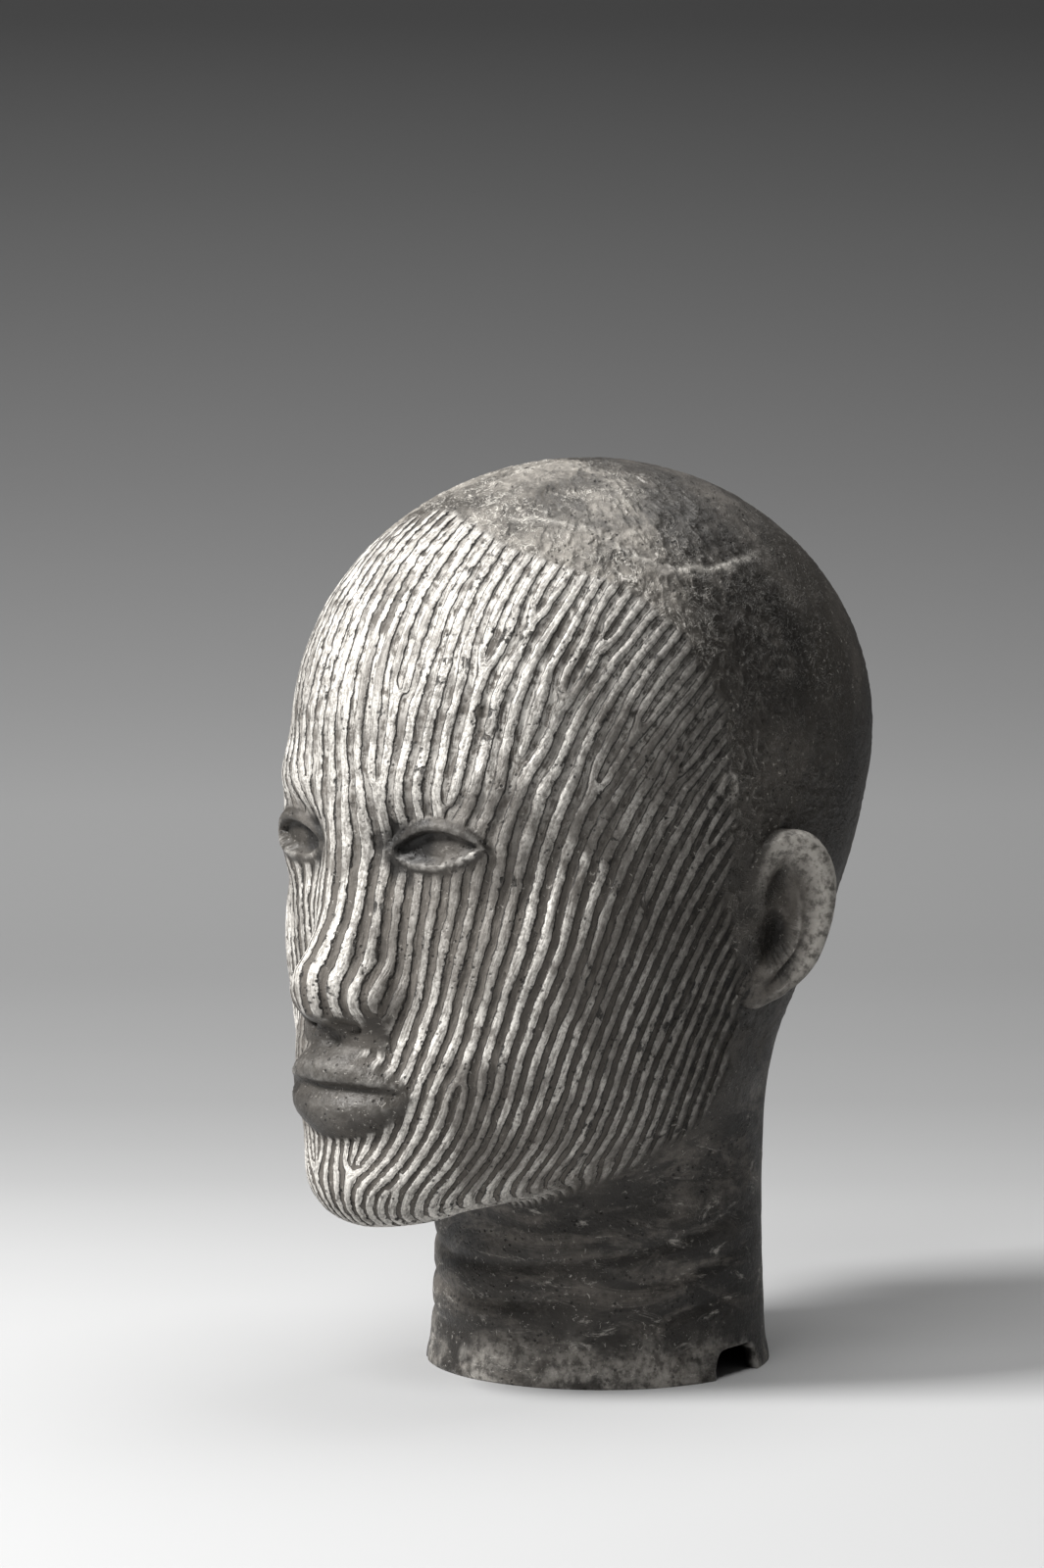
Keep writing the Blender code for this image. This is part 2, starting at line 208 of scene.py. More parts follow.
def brow_and_nose(p):
    """The head with its brow ridge, nose and the rounded barrel behind the lips."""
    d = skull(p)
    q = mirrored(p)
    ridge = curve(((0.025, -0.340, BROW_LINE - 0.015, 0.020), (0.09, -0.344, BROW_LINE + 0.008, 0.026),
                   (0.165, -0.298, BROW_LINE + 0.012, 0.026), (0.225, -0.220, BROW_LINE - 0.008, 0.020),
                   (0.255, -0.150, BROW_LINE - 0.045, 0.008)), 14)
    d = join(d, limb(q, ridge), 0.06)
    d = carve(d, ellipsoid(q, (0.120, -0.432, EYE_LINE), (0.084, 0.064, 0.050)), 0.06)
    bridge = curve(((0, -0.345, EYE_LINE + 0.03, 0.028), (0, -0.352, 0.46, 0.031),
                    (0, -0.372, 0.39, 0.038), (0, -0.405, NOSE_BASE + 0.050, 0.054)), 8)
    d = join(d, limb(q, bridge), 0.060)
    wing = (NOSE_WIDTH / 2 - 0.040, -0.366, NOSE_BASE + 0.034)
    d = join(d, ellipsoid(q, wing, (0.040, 0.062, 0.038)), 0.028)
    septum = ((0, -0.425, NOSE_BASE + 0.014, 0.020), (0, -0.385, NOSE_BASE - 0.002, 0.018))
    d = join(d, limb(q, septum), 0.02)
    nostril = ((0.030, -0.420, NOSE_BASE - 0.008, 0.009), (0.048, -0.392, NOSE_BASE - 0.008, 0.012),
               (0.038, -0.400, NOSE_BASE + 0.010, 0.010))
    d = carve(d, limb(q, nostril), 0.012)
    barrel = (0, -0.285, MOUTH_LINE + 0.005)
    d = join(d, ellipsoid(q, barrel, (0.140, 0.118, 0.110)), 0.06)
    groove = ((0, -0.420, NOSE_BASE - 0.02, 0.008), (0, -0.440, MOUTH_LINE + 0.065, 0.013))
    return carve(d, limb(q, groove), 0.03)


def laid(field, x, z):
    """How far forward the field's surface lies at each x and z."""
    start = np.column_stack((x, np.full_like(x, -0.2), z))
    ahead = np.tile((0.0, -1.0, 0.0), (len(x), 1))
    return -0.2 - outermost(field, start, ahead, reach=0.35)


@functools.lru_cache
def lip_lines():
    """The upper and the lower lip, each a limb from the middle to the corner."""
    s = np.linspace(0, 1, 9)
    x = s * MOUTH_WIDTH / 2
    lips = []
    for side, full in ((1, UPPER_LIP), (-1, LOWER_LIP)):
        dip = 0.004 * np.exp(-np.square(s / 0.16)) if side > 0 else 0.0
        radius = full * (0.14 + 0.86 * np.clip(1 - s ** 1.9, 0, 1) ** 0.85)
        z = MOUTH_LINE + side * radius * 0.86 - dip - 0.004 * s
        y = laid(brow_and_nose, x, z) + radius * 0.92 - 0.022 * (1 - s ** 2) ** 0.8
        lips.append(np.column_stack((x, y, z, radius)))
    return lips


def lips(p):
    d = brow_and_nose(p)
    q = mirrored(p)
    for line in reversed(lip_lines()):
        d = join(d, limb(q, line), 0.012)
    return d


@functools.lru_cache
def parting_line():
    s = np.linspace(0, 0.97, 9)
    x = s * MOUTH_WIDTH / 2
    z = MOUTH_LINE + 0.003 * np.sin(s * math.pi) - 0.004 * s
    radius = 0.0045 * (1 - 0.7 * s)
    return np.column_stack((x, laid(lips, x, z) + radius * 0.3, z, radius))


def mouth(p):
    return carve(lips(p), limb(mirrored(p), parting_line()), 0.012)


def lid_height(s, full):
    """How far a lid stands from the eye's own line at s, which runs from corner to corner."""
    arc = 1.0 - s * s
    return full * np.sign(arc) * np.abs(arc) ** np.where(arc > 0, 0.8, 0.5)


def eyeballs(p):
    return join(mouth(p), ellipsoid(mirrored(p), EYEBALL, (0.094, 0.093, 0.078)), 0.030)


@functools.lru_cache
def lid_lines():
    s = np.sin(np.linspace(-1, 1, 17) * math.pi / 2)
    x = EYE_CENTRE + s * EYE_WIDTH / 2
    lines = []
    for full in (UPPER_LID, -LOWER_LID):
        z = EYE_LINE + EYE_TILT * s + lid_height(s, full)
        radius = 0.0045 + 0.0025 * (1 - s * s) * (1 if full > 0 else 0.5)
        lines.append(np.column_stack((x, laid(eyeballs, x, z) + 0.001, z, radius)))
    return lines


def eyes(p):
    """A ball in an opening of even depth, and a raised rim along each lid."""
    d = eyeballs(p)
    q = mirrored(p)
    s = (q[:, 0] - EYE_CENTRE) / (EYE_WIDTH / 2)
    z = q[:, 2] - EYE_LINE - EYE_TILT * s
    opening = np.maximum(z - lid_height(s, UPPER_LID), -lid_height(s, LOWER_LID) - z)
    depth = 0.002 + 0.009 * np.sqrt(np.clip(1 - s * s, 0, 1))
    opened = carve(d, np.maximum(opening, np.maximum(-(d + depth), q[:, 1] - EYEBALL[1])), 0.003)
    for line in lid_lines():
        opened = join(opened, limb(q, line), 0.005)
    return opened


def ear_axes():
    """The ear's own directions: to the back, up along its length and out of its plate."""
    back = np.array((math.sin(EAR_FLARE), math.cos(EAR_FLARE), 0.0))
    out = np.array((math.cos(EAR_FLARE), -math.sin(EAR_FLARE), 0.0))
    up = np.array((0.0, 0.0, 1.0))
    lean, upright = math.sin(EAR_LEAN), math.cos(EAR_LEAN)
    return back * upright - up * lean, back * lean + up * upright, out


def ear_frame(p):
    """Points in the ear's frame, as shares of the ear's length."""
    return (p - np.array(EAR_CENTRE)) @ np.array(ear_axes()).T / EAR_LENGTH


def ear(p):
    """Helix, antihelix, bowl, tragus, lobe and the long slit before them, on a plate that meets the skull."""
    q = ear_frame(p)
    helix = curve(((-0.03, -0.02, 0.02, 0.035), (-0.15, 0.10, 0.04, 0.050), (-0.16, 0.27, 0.06, 0.066),
                   (-0.07, 0.415, 0.09, 0.075), (0.08, 0.425, 0.12, 0.075), (0.195, 0.28, 0.14, 0.068),
                   (0.220, 0.06, 0.14, 0.060), (0.180, -0.18, 0.11, 0.054), (0.08, -0.34, 0.06, 0.050),
                   (-0.05, -0.44, 0.02, 0.045)), 40)
    inner = curve(((0.085, 0.27, 0.03, 0.035), (0.120, 0.08, 0.065, 0.042), (0.095, -0.09, 0.075, 0.042),
                   (0.00, -0.25, 0.065, 0.040), (-0.11, -0.39, 0.040, 0.036)), 20)
    d = ellipsoid(q, (0.02, 0.02, -0.08), (0.25, 0.46, 0.11))
    d = join(d, ellipsoid(q, (-0.06, 0.0, -0.18), (0.20, 0.38, 0.20)), 0.10)
    d = join(d, ellipsoid(q, (-0.07, -0.37, 0.0), (0.11, 0.12, 0.07)), 0.06)
    d = join(d, limb(q, helix), 0.03)
    d = join(d, limb(q, inner), 0.04)
    d = join(d, limb(q, ((0.0, 0.33, 0.02, 0.03), (0.11, 0.18, 0.04, 0.035))), 0.04)
    bowl = join(ellipsoid(q, (-0.03, -0.08, 0.06), (0.125, 0.17, 0.22)),
                limb(q, ((-0.03, 0.05, 0.02, 0.045), (-0.09, -0.13, -0.08, 0.05), (-0.10, -0.15, -0.2, 0.04))), 0.03)
    d = carve(d, bowl, 0.03)
    d = join(d, ellipsoid(q, (-0.18, -0.06, 0.02), (0.05, 0.12, 0.07)), 0.04)
    slit = join(limb(q, ((-0.03, 0.01, 0.0, 0.040), (-0.08, -0.15, -0.04, 0.054), (-0.13, -0.27, -0.02, 0.046))),
                limb(q, ((-0.03, 0.01, 0.10, 0.046), (-0.08, -0.15, 0.10, 0.062), (-0.13, -0.27, 0.10, 0.052))), 0.06)
    d = carve(d, slit, 0.03)
    return d * EAR_LENGTH


def ear_with_fillet(p):
    """The ear and the skin round its root, which sinks under the head's own skin further out."""
    q = ear_frame(p)
    apart = np.linalg.norm(q * (1.0, 0.75, 0.6), axis=1)
    sunk = skull(p) + 0.0015 + 0.03 * step(0.25, 0.5, apart)
    near = ellipsoid(q, (0.0, 0.0, -0.05), (0.52, 0.72, 0.50)) * EAR_LENGTH
    return common(join(ear(p), sunk, 0.03), near, 0.005)


def form(p):
    """The whole head without its ears."""
    d = skull(p)
    front = p[:, 1] < -0.12
    d[front] = eyes(p[front])
    return d


def hollow(p):
    """The space inside, a wall's thickness under the skin, and more behind the face."""
    behind_face = 0.016 * step(-0.18, -0.30, p[:, 1])
    return np.maximum(skull(p), form(p)) + WALL / HEAD + behind_face


def ray(turn, rise):
    """Start and direction of the ray for a turn about the head's axis (0 to the face) and a rise
    from -1 at the neck's foot to 1 at the crown. The starts climb the axis, so that low rays cross
    the neck's wall and high ones the brain case."""
    low = np.clip(-rise, 0, 1)
    start_z = np.where(rise < 0, 0.50 - 0.62 * low ** 0.9, 0.50)
    start_y = NECK_AXIS * step(0.3, 1.0, low)
    slope = np.where(rise < 0, -math.radians(42) * np.sin(np.minimum(low * 2.4, 1) * math.pi / 2),
                     math.pi / 2 * rise)
    start = np.column_stack((np.zeros_like(turn), start_y, start_z))
    flat = np.cos(slope)
    return start, np.column_stack((np.sin(turn) * flat, -np.cos(turn) * flat, np.sin(slope)))


def outermost(field, start, direction, reach=0.75, steps=48, refine=8):
    """How far along each ray the field's outermost surface lies."""
    count = len(start)
    far = np.full(count, reach)
    active = np.arange(count)
    for _ in range(steps):
        d = field(start[active] + direction[active] * far[active, None])
        far[active] -= np.clip(d, 0.0, None) * 0.8
        active = active[d > 2e-4]
        if not len(active):
            break
    for _ in range(refine):
        d = field(start + direction * far[:, None])
        far -= d * 0.8
    return far


# Noise: every value is worked out from the place alone, so each run gives the same surface.

TABLE = np.random.default_rng(7).random(4096)


def noise(p, seed=0):
    """Smooth noise from 0 to 1 at each point, with bumps about one unit apart."""
    cell = np.floor(p).astype(np.int64)
    t = p - cell
    t = t * t * (3 - 2 * t)
    total = np.zeros(len(p))
    for corner in range(8):
        at = [(corner >> axis) & 1 for axis in range(3)]
        key = (cell[:, 0] + at[0]) * 1571 + (cell[:, 1] + at[1]) * 2903 + (cell[:, 2] + at[2]) * 4327
        weight = np.ones(len(p))
        for axis in range(3):
            weight *= t[:, axis] if at[axis] else 1 - t[:, axis]
        total += weight * TABLE[(key + seed * 977) & 4095]
    return total


def fractal(p, octaves, seed=0):
    total, size, share = 0.0, 1.0, 0.5
    for octave in range(octaves):
        total = total + share * (noise(p * size, seed + octave) - 0.5)
        size *= 2.03
        share *= 0.5
    return total


def pits(p, size, chance, seed):
    """How near each point is to the middle of the pit in its own cell or the next: 1 there, 0 outside."""
    cell = np.floor(p / size).astype(np.int64)
    deepest = np.zeros(len(p))
    for shift in range(27):
        other = cell + (shift % 3 - 1, shift // 3 % 3 - 1, shift // 9 - 1)
        key = other[:, 0] * 1571 + other[:, 1] * 2903 + other[:, 2] * 4327 + seed * 977
        place = np.column_stack([TABLE[(key + axis * 131) & 4095] for axis in range(3)])
        radius = size * (0.14 + 0.26 * TABLE[(key + 517) & 4095])
        there = TABLE[(key + 811) & 4095] < chance
        gap = np.linalg.norm(p - (other + place) * size, axis=1) / radius
        deepest = np.maximum(deepest, np.where(there, np.clip(1 - gap ** 2, 0, 1), 0))
    return deepest


# Relief. Places are shares of the head's height, sizes and depths are in millimetres.

LINE_DEPTH = 0.80
# The lines' running number over the form, one term each: powers of x, y and the height above the eyes, then the factor.
LINE_TERMS = ((1, 0, 0, 94.1), (1, 0, 1, -74.4), (1, 0, 2, -4.3), (1, 0, 3, -181.9), (1, 0, 4, 194.2),
              (1, 1, 0, 124.2), (1, 1, 1, -192.5), (1, 1, 2, 63.2), (1, 1, 3, 39.6), (1, 2, 0, -12.4),
              (1, 2, 1, -75.4), (1, 2, 2, 50.3), (1, 3, 0, 5.9), (1, 3, 1, 109.1), (1, 4, 0, -27.5),
              (3, 0, 0, -203.3), (3, 1, 0, -65.6), (3, 0, 1, 28.6), (3, 2, 0, 56.1), (3, 1, 1, -28.1),
              (3, 0, 2, -22.1))
CHIN_TERMS = ((1, 0, 0, -76.0), (1, 1, 0, -16.7), (3, 0, 0, -169.5), (1, 0, 1, -178.8))
CHIN_REACH = 0.13
# Turn and height of the places where a line begins between two others (1) or ends (-1).
LINE_STARTS = ((10, 0.585, 1), (14, 0.7, 1), (24, 0.56, 1), (30, 0.74, 1), (38, 0.62, 1), (47, 0.7, 1),
               (54, 0.585, 1), (64, 0.66, 1), (74, 0.6, 1), (56, 0.77, 1), (40, 0.8, 1), (22, 0.5, 1),
               (84, 0.5, 1), (26, 0.2, -1), (31, 0.5, -1), (11, 0.29, 1), (8, 0.19, 1), (5, 0.09, 3),
               (12, 0.06, -1))
GIRTH = 0.36
# The hairline: how high it runs at each turn from the face, and where the lines end before the ear.
FACE_EDGE = ((-0.10, 84), (0.00, 84), (0.10, 89), (0.20, 101), (0.27, 101), (0.45, 91), (0.53, 90), (0.60, 88),
             (0.68, 86.5), (0.72, 83), (0.77, 78), (0.83, 63.5), (0.857, 47.6), (0.88, 32), (0.911, 17),
             (0.928, 5), (0.935, -10))


def bearing(p):
    return np.degrees(np.arctan2(np.abs(p[:, 0]), -p[:, 1]))


def face_share(p):
    """1 where the face is cut with lines, 0 behind the hairline, the ears and the jaw."""
    heights, turns = np.array(FACE_EDGE).T
    edge = np.interp(p[:, 2], heights, turns) + 3.0 * (noise(p * 60, 3) - 0.5)
    share = step(1.2, -1.2, bearing(p) - edge)
    under_jaw = neck(p) + 0.008 * (noise(p * 50, 5) - 0.5)
    return share * step(0.010, 0.026, under_jaw)


def feature_share(p):
    """1 on the eyes with their rims, the lips and under the nose, which stay smooth."""
    q = mirrored(p)
    s = (q[:, 0] - EYE_CENTRE) / (EYE_WIDTH / 2)
    z = q[:, 2] - EYE_LINE - EYE_TILT * s
    outside = np.maximum(z - lid_height(s, UPPER_LID), -lid_height(s, LOWER_LID) - z)
    eye = np.maximum(outside, (np.abs(s) - 1.08) * EYE_WIDTH / 2)
    near = p[:, 1] < -0.15
    smooth = np.where(near, step(0.014, 0.009, eye), 0.0)
    lips_gap = np.minimum(*[limb(q, line) for line in lip_lines()])
    smooth = np.maximum(smooth, step(0.008, 0.003, lips_gap))
    under_nose = (np.abs(p[:, 2] - NOSE_BASE + 0.012) < 0.022) & (p[:, 1] < -0.385) & (q[:, 0] < NOSE_WIDTH / 2)
    return np.maximum(smooth, np.where(under_nose, 1.0, 0.0))


def term_sum(p, terms):
    x, y, z = p[:, 0], p[:, 1], p[:, 2] - EYE_LINE
    return sum(factor * x ** i * y ** j * z ** k for i, j, k, factor in terms)


def line_number(p):
    """The running number of the carved line at each point: it grows by one from line to line."""
    chin = np.exp(-np.square(p[:, 2] / CHIN_REACH))
    number = term_sum(p, LINE_TERMS) + term_sum(p, CHIN_TERMS) * chin
    round_by, up = np.arctan2(p[:, 0], -p[:, 1]) * GIRTH, p[:, 2]
    for turn, height, count in LINE_STARTS:
        at = math.radians(turn) * GIRTH
        here = np.arctan2(up - height, round_by - at) - np.arctan2(up - height, -round_by - at)
        number = number - count * here / (2 * math.pi)
    return number


def track(p):
    """The line's number with the hand's small wobble."""
    wobble = 0.24 * (noise(p * 8, 11) - 0.5) + 0.14 * (noise(p * 26, 12) - 0.5) + 0.10 * (noise(p * 80, 18) - 0.5)
    return line_number(p) + wobble


def groove_half(p):
    """Half of the groove's width as a share of the spacing, wider here and narrower there."""
    return 0.225 + 0.12 * (noise(p * 26, 14) - 0.5) + 0.07 * (noise(p * (110, 110, 40), 15) - 0.5)


def grooves(p, number):
    """How deep the carved lines are at each point, from 0 on a ridge to 1 in a groove."""
    off = np.abs(number - np.round(number))
    half = groove_half(p)
    cut = step(half + 0.045, half - 0.045, off)
    worn = step(0.56, 0.70, noise(p * 13, 19)) * step(0.58, 0.72, p[:, 2])
    rubble = 0.74 + 0.26 * step(0.25, 0.60, noise(p / (1.7 * MM), 16))
    gaps = step(0.16, 0.26, noise(p * (75, 75, 30), 17))
    return cut * rubble * (0.35 + 0.65 * gaps) * (1 - 0.65 * worn)


def scalp(p):
    """The rough cap: short curved marks and pocks, quieter towards the back. 0 to 1, high is proud."""
    warp = np.column_stack([noise(p * 55 + axis * 9.1, 21 + axis) for axis in range(3)]) - 0.5
    q = p / (3.4 * MM) + warp * 2.2
    worms = 1 - np.abs(noise(q, 25) - 0.5) * 2
    worms = step(0.72, 0.95, worms)
    rough = fractal(p / (4.5 * MM), 3, 26) + 0.5
    return 0.55 * worms + 0.45 * rough


ARC = ((0.105, -0.190, 0.925), (0.123, -0.170, 0.923), (0.174, -0.123, 0.911), (0.227, -0.086, 0.873),
       (0.250, -0.038, 0.858), (0.258, 0.030, 0.860), (0.245, 0.095, 0.871), (0.215, 0.170, 0.880))
LEDGE = ((-0.025, -0.237, 0.917), (-0.004, -0.183, 0.948), (0.030, -0.092, 0.981), (0.060, -0.010, 1.0))
LOOP = (0.322, -0.009, 0.575)
DIMPLE = (0.101, -0.370, 0.701)


def near_line(p, points, width):
    track = [(*point, 0.0) for point in points]
    return np.exp(-np.square(limb(p, track) / (width * MM)))


def ring(p):
    """A small raised loop with two legs, in front of the ear."""
    gap = np.linalg.norm((p - np.array(LOOP)) * (0.4, 1.0, 0.85), axis=1) / MM
    x, y, z = LOOP
    legs = [near_line(p, ((x, y + a * MM, z - 1.5 * MM), (x, y + b * MM, z - 9 * MM)), 0.8)
            for a, b in ((-3.0, -5.5), (2.8, 0.0))]
    return np.maximum(np.exp(-np.square((gap - 3.0) / 0.8)), 0.9 * np.maximum(*legs))


def marks(p):
    """Single marks in millimetres: the arc and the ledge on the crown, a small loop and a dimple."""
    height = -0.45 * near_line(p, ARC, 1.0) + 0.45 * near_line(p + (0, 0, 1.7 * MM), ARC, 1.0)
    height = height + 0.55 * near_line(p, LEDGE, 1.4)
    height = height - 0.50 * near_line(p + (2.2 * MM, 0, 0), LEDGE, 1.5)
    dimple = np.linalg.norm(p - np.array(DIMPLE), axis=1) / MM
    return height + 0.7 * ring(p) - 1.1 * np.exp(-np.square(dimple / 1.7))


def relief(p):
    """The surface's height over the smooth form, in millimetres, and what the patina needs: see STORED."""
    face = face_share(p)
    smooth = feature_share(p)
    on_neck = step(0.020, 0.008, neck(p))
    behind = step(150, 95, bearing(p))
    cap = (1 - face) * (1 - on_neck) * step(0.10, 0.30, p[:, 2])
    number = track(p)
    groove = grooves(p, number) * face * (1 - smooth)
    crown = cap * (0.35 + 0.65 * behind)
    height = -LINE_DEPTH * groove
    height = height + crown * (1.0 * scalp(p) - 0.75)
    height = height + 0.45 * (fractal(p / (9 * MM), 3, 31)) + 0.16 * fractal(p / (2.2 * MM), 2, 32)
    pocks = pits(p, 5.5 * MM, 0.30, 33) * (0.3 + 0.7 * noise(p * 12, 34))
    height = height - 0.40 * pocks * (1 - 0.7 * smooth)
    height = height + marks(p)
    height = height - 0.45 * (1 - face) * (1 - crown) * (fractal(p / (14 * MM), 2, 35) + 0.3) * 0.6
    # Wear and painted light: the front of the face and the upper head are paler and the sides, back and neck darker, as
    # where the light falls; pale adds painted light towards the top.
    wear_and_light = step(103, 36, bearing(p) + 14 * (noise(p * 7, 36) - 0.5)) * step(-0.25, 0.08, p[:, 2])
    pale = wear_and_light * step(0.42, 0.75, p[:, 2])
    phase = number * 2 * math.pi
    return height, np.column_stack((np.cos(phase), np.sin(phase), face * (1 - smooth), crown, on_neck, wear_and_light, pale))


# Meshes.

def spread(spacing, start, end, count):
    """Numbers from start to end, packed as closely as the spacing at each asks."""
    fine = np.linspace(start, end, 4001)
    weight = 1 / spacing((fine[1:] + fine[:-1]) / 2)
    total = np.concatenate(([0], np.cumsum(weight)))
    return np.interp(np.linspace(0, total[-1], count), total, fine)


def turn_spacing(turn):
    """Fine from ear to ear over the face, coarse round the back."""
    return 1 + 2.6 * step(1.62, 2.1, np.abs(turn))


def rise_spacing(rise):
    return 1 + 0.9 * step(0.10, 0.25, rise) + 1.3 * step(-0.50, -0.62, rise)


def march_grid(turns, rises, field):
    """Points on the field's outermost surface at each turn and rise, found on a coarse grid and then refined."""
    def rays(t, r):
        turn, rise = np.meshgrid(t, r)
        return ray(turn.ravel(), rise.ravel())
    rough_turns, rough_rises = turns[::4], rises[::3]
    start, direction = rays(rough_turns, rough_rises)
    far = outermost(field, start, direction).reshape(len(rough_rises), len(rough_turns))
    wrapped = np.concatenate((rough_turns, [rough_turns[0] + 2 * math.pi]))
    far = np.column_stack((far, far[:, 0]))
    across = np.array([np.interp(turns, wrapped, row) for row in far])
    far = np.array([np.interp(rises, rough_rises, column) for column in across.T]).T.ravel() + 0.006
    start, direction = rays(turns, rises)
    for _ in range(REFINE):
        far -= 0.8 * field(start + direction * far[:, None])
    return start + direction * far[:, None]


def grid_normals(points, rows, columns):
    p = points.reshape(rows, columns, 3)
    across = np.roll(p, -1, axis=1) - np.roll(p, 1, axis=1)
    up = np.gradient(p, axis=0)
    normal = np.cross(across, up).reshape(-1, 3)
    return normal / (np.linalg.norm(normal, axis=1)[:, None] + 1e-12)


def grid_mesh(name, points, rows, columns, crown, foot):
    """A closed skin over rows of points, with a single point above and one below."""
    index = np.arange(rows * columns).reshape(rows, columns)
    low, high = index[:-1], index[1:]
    quads = np.stack((low, np.roll(low, -1, 1), np.roll(high, -1, 1), high), axis=-1).reshape(-1, 4)
    top, bottom = rows * columns, rows * columns + 1
    ends = [(a, b, top) for a, b in zip(index[-1], np.roll(index[-1], -1))]
    ends += [(b, a, bottom) for a, b in zip(index[0], np.roll(index[0], -1))]
    data = bpy.data.meshes.new(name)
    data.from_pydata(np.vstack((points, crown, foot)).tolist(), [], quads.tolist() + ends)
    data.update()
    return data


def object_of(name, data):
    made = bpy.data.objects.new(name, data)
    bpy.context.scene.collection.objects.link(made)
    return made


def fewer(target, triangles):
    modifier = target.modifiers.new("fewer faces", "DECIMATE")
    modifier.ratio = min(1.0, triangles / sum(len(face.vertices) - 2 for face in target.data.polygons))


def boolean(target, operation, other):
    modifier = target.modifiers.new(other.name, "BOOLEAN")
    modifier.operation = operation
    modifier.object = other


def in_metres(p):
    """From shares of the head to the frame's metres."""
    return p * HEAD + (0.0, -MIDDLE, NECK_LENGTH)


def head_skin():
    """The outer skin of the head and neck, with its relief."""
    turns = spread(turn_spacing, -math.pi, math.pi, COLUMNS + 1)[:-1]
    rises = spread(rise_spacing, -0.97, 0.993, ROWS)
    points = march_grid(turns, rises, form)
    normals = grid_normals(points, ROWS, COLUMNS)
    height, _ = relief(points)
    points = points + normals * (np.minimum(height, 0.25) * MM)[:, None]
    crown = points[-COLUMNS:].mean(axis=0)
    foot = points[:COLUMNS].mean(axis=0)
    return object_of("skin", grid_mesh("skin", in_metres(points), ROWS, COLUMNS, in_metres(crown), in_metres(foot)))


def ball(segments, rings):
    mesh = bmesh.new()
    bmesh.ops.create_uvsphere(mesh, u_segments=segments, v_segments=rings, radius=1.0)
    return mesh, np.array([vert.co[:] for vert in mesh.verts])


def laid_ball(name, mesh, points):
    for vert, point in zip(mesh.verts, points):
        vert.co = point
    data = bpy.data.meshes.new(name)
    mesh.to_mesh(data)
    mesh.free()
    return object_of(name, data)


def ear_skin(name, side):
    mesh, points = ball(*EAR_GRID)
    direction = points * (side, 1, 1) @ np.array(ear_axes())
    root = np.array(EAR_CENTRE) - 0.05 * ear_axes()[2]
    start = np.tile(root, (len(points), 1))
    far = outermost(ear_with_fillet, start, direction, reach=0.3)
    laid = start + direction * far[:, None]
    height = 0.50 * fractal(laid / (5 * MM), 3, 41) - 0.35 * pits(laid, 5 * MM, 0.25, 42)
    laid = laid + direction * (height * MM)[:, None]
    return laid_ball(name, mesh, in_metres(laid * (side, 1, 1)))


def hollow_skin():
    mesh, points = ball(*HOLLOW_GRID)
    turn = np.arctan2(points[:, 0], -points[:, 1])
    rise = np.arcsin(np.clip(points[:, 2], -1, 1)) * 2 / math.pi
    start, direction = ray(turn, rise)
    points = start + direction * outermost(hollow, start, direction)[:, None]
    points = points + direction * (0.6 * MM * fractal(points / (7 * MM), 3, 43))[:, None]
    return laid_ball("hollow", mesh, in_metres(points))


def ground_block():
    mesh = bmesh.new()
    bmesh.ops.create_cube(mesh, size=1.0)
    block = object_of("ground", bpy.data.meshes.new("ground"))
    mesh.to_mesh(block.data)
    mesh.free()
    block.location = (0, 0, -0.5)
    return block


def notch_bar():
    """The broken gap in the rim: a bar with a rounded top across the wall, its edge uneven."""
    mesh = bmesh.new()
    bmesh.ops.create_cone(mesh, cap_ends=True, segments=48, radius1=1.0, radius2=1.0, depth=1.0)
    points = np.array([vert.co[:] for vert in mesh.verts])
    uneven = 1 + 0.16 * (noise(points * (2.6, 2.6, 0.0) + 5, 51) - 0.5)
    points[:, :2] = np.sign(points[:, :2]) * np.abs(points[:, :2]) ** NOTCH_ROUNDING
    points = points * uneven[:, None] * (NOTCH_WIDTH / 2, NOTCH_HEIGHT, 0.0) + points * (0, 0, 0.5 * NECK_RADIUS * HEAD)
    bar = laid_ball("notch", mesh, points)
    outward = Vector((math.sin(NOTCH_BEARING), -math.cos(NOTCH_BEARING), 0.0))
    bar.rotation_euler = (math.pi / 2, 0.0, NOTCH_BEARING)
    bar.location = Vector((0, NECK_AXIS * HEAD - MIDDLE, 0)) + outward * NECK_RADIUS * HEAD
    return bar


STORED = ("line_cos", "line_sin", "face", "cap", "neck", "wear_and_light", "pale", "ear", "bowl", "bright", "inside")


def mark_patina(data):
    """Stores what the patina needs at each point, under the names in STORED."""
    count = len(data.vertices)
    points = np.empty(count * 3, np.float32)
    data.vertices.foreach_get("co", points)
    points = (points.reshape(-1, 3) - (0.0, -MIDDLE, NECK_LENGTH)) / HEAD
    _, shares = relief(points)
    inside = step(-1.6 * MM, -3.0 * MM, np.minimum(form(points), skull(points)))
    proud = step(1.0 * MM, 3.0 * MM, form(points)) * step(0.20, 0.30, points[:, 2])
    q = ear_frame(mirrored(points))
    bowl = step(0.05, -0.03, q[:, 2]) * step(0.27, 0.21, np.hypot(q[:, 0] + 0.03, q[:, 1] / 1.5))
    bright = np.maximum(0.75 * proud * step(0.08, 0.18, q[:, 2]), 0.75 * ring(points))
    bright = np.maximum(bright, 0.8 * near_line(points + (0, 0, 1.7 * MM), ARC, 1.3))
    shares[:, STORED.index("cap")] *= 1 - proud
    for name, values in zip(STORED, [*shares.T, proud, bowl, bright, inside]):
        layer = data.attributes.new(name, "FLOAT", "POINT")
        layer.data.foreach_set("value", values.astype(np.float32))


